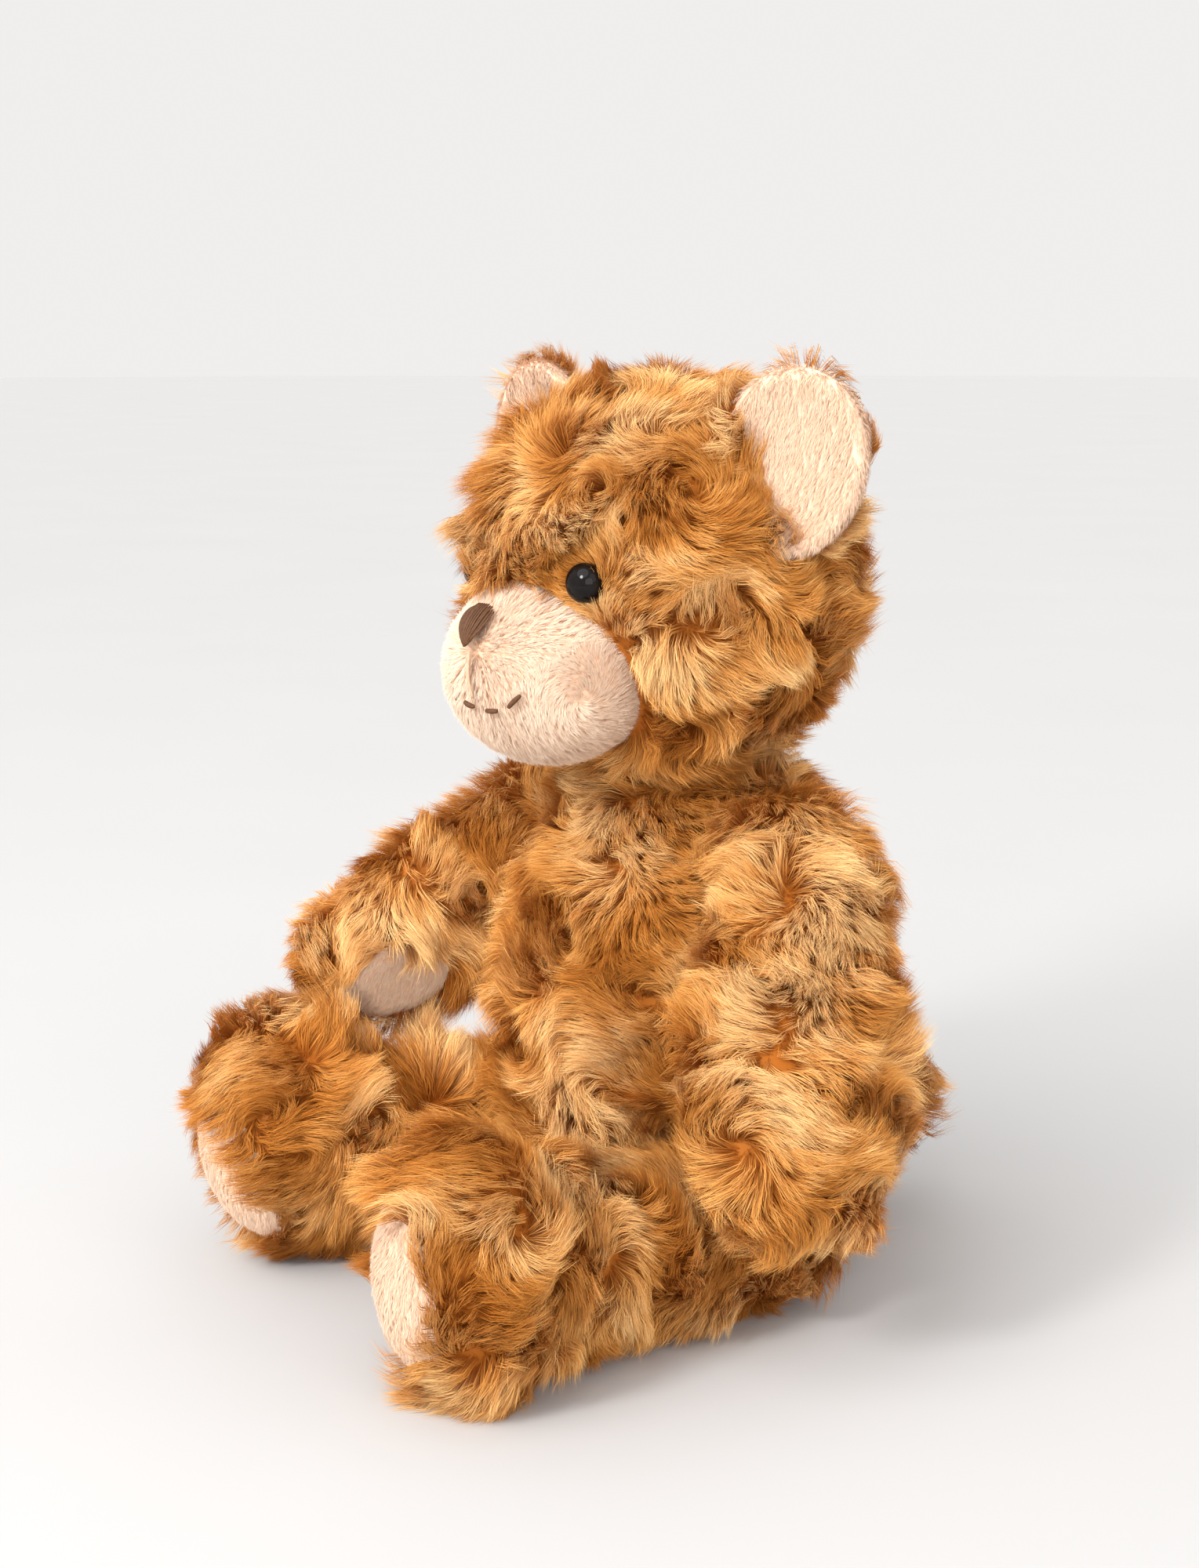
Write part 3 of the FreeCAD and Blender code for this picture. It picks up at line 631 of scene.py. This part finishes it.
def aimed(name, data, way, place=(0, 0, 0)):
    """A camera or a light that looks along a direction."""
    made = bpy.data.objects.new(name, data)
    bpy.context.scene.collection.objects.link(made)
    made.location = place
    made.rotation_mode = "QUATERNION"
    made.rotation_quaternion = way.to_track_quat("-Z", "Y")
    return made


camera = aimed("camera", bpy.data.cameras.new("camera"), -back, TARGET + back * DISTANCE)
camera.data.lens = 56.16
camera.data.shift_x = -0.030
camera.data.shift_y = 0.0315
bpy.context.scene.camera = camera


def sun(name, azimuth, elevation, strength, spread, colour):
    """A wide soft light that falls evenly over everything."""
    data = bpy.data.lights.new(name, "SUN")
    data.energy = strength
    data.angle = math.radians(spread)
    data.color = colour
    a, e = math.radians(azimuth), math.radians(elevation)
    aimed(name, data, -Vector((math.sin(a) * math.cos(e), -math.cos(a) * math.cos(e), math.sin(e))))


sun("key", 15, 48, 1.55, 50, (1.0, 0.97, 0.94))
sun("side", 85, 30, 0.4, 40, (1.0, 0.98, 0.96))
sun("fill", 56, 8, 1.0, 40, (1.0, 0.97, 0.94))
# a disc that gives the eyes their highlight
catch = bpy.data.lights.new("catch", "AREA")
catch.shape = "DISK"
catch.size = 0.26
catch.energy = 8
aimed("catch", catch, Vector((-0.30, 1.05, -0.55)), (0.30, -1.05, 0.72))
# a narrow warm light for the palm that lies in shade
card = bpy.data.lights.new("card", "SPOT")
card.energy = 10
card.color = (1.0, 0.86, 0.74)
card.spot_size = math.radians(8)
card.spot_blend = 1.0
card.shadow_soft_size = 0.04
aimed("card", card, -back, Vector(FAR_PALM) * MM + back * 0.5)
bpy.context.scene.view_settings.view_transform = "Standard"
world = bpy.data.worlds.new("studio")
world.use_nodes = True
tree = world.node_tree
where = tree.nodes.new("ShaderNodeTexCoord")
split = tree.nodes.new("ShaderNodeSeparateXYZ")
tree.links.new(where.outputs["Generated"], split.inputs["Vector"])
sky = ramp(tree, [(0.0, (0.871, 0.858, 0.849)), (0.25, (0.871, 0.858, 0.849)), (0.45, (1.0, 1.0, 1.0)),
                  (1.0, (1.0, 1.0, 1.0))], split.outputs["Z"])
tree.links.new(sky, tree.nodes["Background"].inputs["Color"])
tree.nodes["Background"].inputs["Strength"].default_value = 1.0
bpy.context.scene.world = world
around = np.linspace(0, 2 * math.pi, FLOOR_SIDES, endpoint=False)
rim = np.stack([FLOOR_HALF * np.cos(around), FLOOR_HALF * np.sin(around), 0 * around - 0.05], 1)
ring = np.arange(FLOOR_SIDES)
fan = np.stack([np.full(FLOOR_SIDES, FLOOR_SIDES), ring, (ring + 1) % FLOOR_SIDES], 1)
pale = grained("floor", (0.553, 0.549, 0.547), (0.565, 0.561, 0.559), 6, 0.9)
floor = mesh_object("floor", np.vstack([rim, [[0, 0, -0.05]]]), fan, pale)


# ------------------------------------------------------------------ the forms
FORMS = {"torso": body_form(BASE)}
head_form = ball(np.array(HEAD) - BASE, HEAD_AT, 96, 60)
head_form.points[:, 2] = np.maximum(head_form.points[:, 2], NECK_Z + GAP + BASE)
FORMS["head"] = head_form.moved(HEAD_FRAME)
muzzle = ball(np.array(MUZZLE) - 1.9, MUZZLE_AT, 160, 100)
across = muzzle.points[:, 0] - SEAM_BEND * (159.6 - muzzle.points[:, 2]) ** 2
fold = np.exp(-(across / 1.5) ** 2) / (1 + np.exp(-(muzzle.points[:, 2] - 148.0)))
fold /= 1 + np.exp(muzzle.points[:, 2] - 162.0)
muzzle.points[:, 1] += np.where(muzzle.points[:, 1] < MUZZLE_AT[1], 1.5 * fold, 0)
FORMS["muzzle"] = muzzle.moved(HEAD_FRAME)
FORMS["tail"] = ball(np.full(3, TAIL_R - BASE), TAIL_AT)
LIMBS = {}
for side, end in SIDES.items():
    for kind, limb in (("arm", ARM), ("leg", LEG)):
        frame_here = limb_frame(kind, side)
        LIMBS[kind, side] = frame_here
        FORMS[f"{kind}_{end}"] = limb_form(limb, side, BASE).moved(frame_here)
TREES = {name: tree_of(form) for name, form in FORMS.items()}


def trees(*names):
    return [TREES[name] for name in names]


def one_way(way):
    """The same direction everywhere."""
    return lambda p, n: np.tile(way, (len(p), 1))


def limb_comb(frame_here, way):
    turned = frame_here.turn @ np.array(way, float)
    return lambda p: np.tile(turned, (len(p), 1))


# ------------------------------------------------------------------ torso and tail
base = cloth("torso_cloth", FORMS["torso"], BROWN)
pile = fur("torso_fur", FORMS["torso"], DENSE, 12.0, (0, 0, -0.6), 11,
           others=trees("head", "arm_left", "arm_right", "leg_left", "leg_right"))
assemble(base, pile, "body", ["torso_skin"])
base = cloth("tail_cloth", FORMS["tail"], BROWN)
pile = fur("tail_fur", FORMS["tail"], DENSE, 14.0, (0, 0.4, -1), 12, spacing=14, keep=lambda p: p[:, 1] > 46)
assemble(base, pile, "body", ["tail_skin"])

# ------------------------------------------------------------------ arms and legs
for side, end in SIDES.items():
    here = LIMBS["arm", side]

    def on_palm(p, here=here, side=side):
        own = here.back(p)
        near = np.hypot(own[:, 1], own[:, 2] + ARM["reach"] + PALM_BEYOND) < PALM_R
        return near & (side * own[:, 0] < 9.0)

    form = FORMS[f"arm_{end}"]
    base = cloth(f"arm_cloth_{end}", form, BROWN)
    pile = fur(f"arm_fur_{end}", form, DENSE, 11.5, limb_comb(here, (0, 0, -1)), 20 + side,
               keep=lambda p: ~on_palm(p), tone_shift=0.08, others=trees("torso", "head", f"leg_{end}"))
    assemble(base, pile, f"arm_{end}", [f"arm_skin_{end}"])
    base = patch(f"palm_cloth_{end}", form, on_palm, 0.12, CREAM)
    # the palm nap takes a lighter cream tone than the soles and ears: painted light for a paw that lies in shade
    pile = nap(f"palm_nap_{end}", form, 14.0, 2.6, one_way(here.turn @ [0, 0.3, -1.0]), 30 + side,
               keep=on_palm, tone=0.8)
    assemble(base, [pile], f"arm_{end}", [f"paw_pad_{end}"])

    here = LIMBS["leg", side]

    def on_sole(p, margin=0.0, here=here, side=side):
        own = here.back(p)
        across, down = SOLE_TILT[side]
        beyond = -own[:, 2] - LEG["reach"] - SOLE_START
        return beyond > margin + across * (side * own[:, 0] - 20.0) - down * own[:, 1]

    form = FORMS[f"leg_{end}"]
    base = cloth(f"leg_cloth_{end}", form, BROWN)
    pile = fur(f"leg_fur_{end}", form, DENSE, 11.5, limb_comb(here, (0, 0.4, -0.9)), 40 + side,
               keep=lambda p: ~on_sole(p, 1.5), comb_share=1.1, others=trees("torso", f"arm_{end}"))
    assemble(base, pile, f"leg_{end}", [f"leg_skin_{end}"])
    base = patch(f"sole_cloth_{end}", form, on_sole, 0.12, CREAM)
    pile = nap(f"sole_nap_{end}", form, 14.0, 2.6, one_way([0, 0, -1.0]), 50 + side, keep=on_sole, tone=0.3)
    assemble(base, [pile], f"leg_{end}", [f"sole_pad_{end}"])


# ------------------------------------------------------------------ head
def eye_spot(side):
    """Place and outward direction of an eye on the head, before the head is turned."""
    share = np.array([side * EYE_X / HEAD[0], 0, (EYE_Z - HEAD_AT[2]) / HEAD[2]])
    share[1] = -math.sqrt(1 - share[0] ** 2 - share[2] ** 2)
    return share * HEAD + HEAD_AT, unit(share / HEAD)


def off_face(p):
    """Where the head carries brown pile: outside the muzzle and the eyes."""
    own = HEAD_FRAME.back(p)
    clear = (((own - MUZZLE_AT) / (np.array(MUZZLE) - 0.4)) ** 2).sum(1) > 1
    for side in SIDES:
        outer = np.clip((side * own[:, 0] - EYE_X) / 3.0, 0, 1)
        clear &= np.linalg.norm(own - eye_spot(side)[0], axis=1) > 4.3 - 0.9 * outer
    return clear


def near_eye(p):
    """How long the pile may be close to an eye, from 0 to 1; longer beside the eyes and over the right one."""
    own = HEAD_FRAME.back(p)
    gaps = [np.linalg.norm(own - eye_spot(side)[0], axis=1) for side in SIDES]
    outer = np.clip((np.abs(own[:, 0]) - EYE_X) / 4.0, 0, 1)
    brow = np.clip((own[:, 0] + EYE_X) / 4.0, 0, 1) * (own[:, 0] < 0)
    return np.clip((np.minimum(*gaps) - 3.5) / 9.0, 0.15 + 0.65 * np.maximum(outer, brow), 1.0)


def head_comb(p):
    """Away from the middle of the face and down the cheeks."""
    own = HEAD_FRAME.back(p) - np.array([0, -50, 176])
    return unit(own * np.array([1.0, 1.0, 0.6]) + np.array([0, 0, -18.0])) @ HEAD_FRAME.turn.T


base = cloth("head_cloth", FORMS["head"], BROWN)
pile = fur("head_fur", FORMS["head"], DENSE, 11.5, head_comb, 61, keep=off_face, short=near_eye,
           others=trees("torso", "arm_left", "arm_right"), spacing=16)
assemble(base, pile, "head", ["head_skin"])


def muzzle_shown(p):
    own = HEAD_FRAME.back(p)
    return (((own - HEAD_AT) / (np.array(HEAD) - BASE)) ** 2).sum(1) > 0.97


def muzzle_comb(p, n):
    """Back from the nose, with a whorl on each cheek of the muzzle."""
    own = HEAD_FRAME.back(p)
    flow = own - np.array([0, -66, 160])
    heart = np.stack([np.sign(own[:, 0]) * 23.0, np.full(len(own), -52.0), np.full(len(own), 150.0)], 1)
    off = own - heart
    near = np.exp(-(off ** 2).sum(1, keepdims=True) / 120.0)
    spin = np.cross(HEAD_FRAME.back(n + HEAD_FRAME.shift), unit(off)) * np.sign(own[:, :1])
    return unit((1 - near) * unit(flow) + 1.6 * near * (0.5 * unit(off) + spin)) @ HEAD_FRAME.turn.T


base = cloth("muzzle_cloth", FORMS["muzzle"], CREAM, 0.15, 0.4)
pile = nap("muzzle_nap", FORMS["muzzle"], 15.0, 3.1, muzzle_comb, 62, keep=muzzle_shown, tone=0.55)
assemble(base, [pile], "head", ["muzzle_skin"])


# ------------------------------------------------------------------ ears
def ear_form(frame_here, inset=1.6):
    """A cushion with a round back and a hollow front, closed at its rim."""
    wide, thick, tall = np.array(EAR) - inset
    profile = [(math.sin(a), thick * math.cos(a)) for a in np.linspace(0.06, math.pi / 2, 14)]
    profile += [(1 - 0.10 * (1 - math.cos(a)), -2.2 * math.sin(a)) for a in np.linspace(0.3, math.pi / 2, 5)]
    profile += [(s, -2.2 + 3.6 * (1 - (s / 0.9) ** 2)) for s in np.linspace(0.84, 0.05, 12)]
    turn = np.linspace(0, 2 * math.pi, 72, endpoint=False)
    rows = [np.stack([wide * r * np.cos(turn), np.full(72, y), tall * r * np.sin(turn)], 1) for r, y in profile]
    return Form(np.array(rows)).moved(frame_here)


for side, end in SIDES.items():
    turned = about((0, 0, 1), side * EAR_TURN[side]) @ about((0, 1, 0), side * EAR_LEAN)
    here = Frame(turned, (side * EAR_AT[0], EAR_AT[1], EAR_AT[2])).then(HEAD_FRAME)

    def in_ear(p, here=here, side=side):
        own = here.back(p)
        inside = (own[:, 1] < 2.0) & ((own[:, 0] / 18.6) ** 2 + (own[:, 2] / 21.8) ** 2 < 1)
        return inside & (side * own[:, 0] > -16.5 + 0.78 * (8.0 - own[:, 2]))

    def out_of_skull(p):
        own = HEAD_FRAME.back(p)
        return (((own - HEAD_AT) / (np.array(HEAD) - BASE)) ** 2).sum(1) > 1.0

    form = ear_form(here)
    base = cloth(f"ear_cloth_{end}", form, BROWN)
    pile = fur(f"ear_fur_{end}", form, DENSE, 9.5, limb_comb(here, (0, 0.8, 0.8)), 70 + side, spacing=14,
               keep=lambda p: ~in_ear(p) & out_of_skull(p), comb_share=1.6, tone_shift=0.22)
    assemble(base, pile, "head", [f"ear_outer_{end}"])
    base = patch(f"ear_lining_{end}", form, in_ear, 0.12, CREAM)
    pile = nap(f"ear_nap_{end}", form, 14.0, 2.6, one_way(here.turn @ [0.2, 0, -1.0]), 80 + side,
               keep=lambda p: in_ear(p) & out_of_skull(p), tone=0.25)
    assemble(base, [pile], "head", [f"ear_inner_{end}"])


# ------------------------------------------------------------------ nose and stitches
def on_muzzle(x, z, lift):
    """A place on the front of the muzzle."""
    x, z = np.broadcast_arrays(np.asarray(x, float), np.asarray(z, float))
    a, b = x / MUZZLE[0], (z - MUZZLE_AT[2]) / MUZZLE[2]
    y = MUZZLE_AT[1] - MUZZLE[1] * np.sqrt(np.maximum(1 - a * a - b * b, 0.02))
    p = np.stack([x, y, z], -1)
    n = unit((p - MUZZLE_AT) / np.array(MUZZLE) ** 2)
    return HEAD_FRAME.out(p + n * np.asarray(lift)[..., None])


NOSE_THREADS = 13
rng = np.random.default_rng(90)
paths = []
for k in range(NOSE_THREADS):
    s = 2 * (k + 0.5) / NOSE_THREADS - 1
    share = np.linspace(0, 1, 14)
    bow = 1.5 * s * np.sin(math.pi * share) ** 0.9
    x = 0.8 * s + 4.2 * s * share ** 0.9 + bow
    z = 160.2 + 0.9 * s * s + (9.3 - 1.6 * abs(s) ** 2.4 - 0.9 * s * s) * share + rng.normal(0, 0.10)
    rise = np.sin(math.pi * np.clip(share, 0.02, 0.98)) ** 0.45
    lift = 0.1 + (1.15 + rng.normal(0, 0.07)) * rise * (1 - 0.35 * s * s)
    paths.append(on_muzzle(x, z, lift))
nose = tubes("nose_threads", paths, 0.30, THREAD)
around = np.linspace(0, 2 * math.pi, 40, endpoint=False)
bed = []
for share in (0.02, 0.35, 0.65, 0.85, 1.0):
    x = 5.0 * share * np.cos(around) * (0.66 + 0.34 * np.sin(around))
    z = 164.9 + 4.4 * share * np.sin(around)
    bed.append(on_muzzle(x, z, np.full(40, 0.7 - 0.7 * share ** 2.5)))
assemble(nose, [cloth("nose_bed", Form(np.array(bed)), THREAD)], "head", ["nose_embroidery"])

seam_z = np.linspace(159.6, 148.2, 16)
seam_path = on_muzzle(SEAM_BEND * (159.6 - seam_z) ** 2, seam_z, np.full(16, -1.5))
seam = tubes("seam_thread", [seam_path], 0.4, TAN_THREAD)
assemble(seam, [], "head", ["nose_seam"])
# place across, height, slope and how far each mouth stitch stands out
STITCHES = ((-12.5, 149.0, 0.7, -1.6), (-6.0, 147.3, 0.3, -1.3), (2.0, 147.4, -0.25, 0.5),
            (8.9, 146.7, 0.05, 0.6), (15.0, 149.3, 0.95, 0.6))
STITCH_HALF = 1.6
for k, (middle, level, slope, high) in enumerate(STITCHES):
    step = np.linspace(-1, 1, 12)
    x = middle + STITCH_HALF * step
    z = level + STITCH_HALF * slope * step
    rise = high + 0.5 * np.sqrt(np.maximum(1 - step * step, 0)) - 0.5
    stitch = tubes(f"stitch_{k + 1}", [on_muzzle(x, z, rise)], 0.62, THREAD)
    assemble(stitch, [], "head", [f"mouth_stitch_{k + 1}"])

# ------------------------------------------------------------------ CAD nodes that stay
LOOKS = {"eye_black": EYE, "filling": FILLING, "joint_plastic": PLASTIC, "lock_steel": STEEL}


def cad_slot(name):
    if "stuffing" in name:
        return "filling"
    if "washer" in name or "disc" in name:
        return "joint_plastic"
    return "lock_steel" if "lock_ring" in name else "eye_black"


for made in list(bpy.data.objects):
    if made.type == "MESH" and made.name in frame["nodes"] and not made.hide_render:
        for socket in made.material_slots:
            socket.material = LOOKS[cad_slot(made.name)]
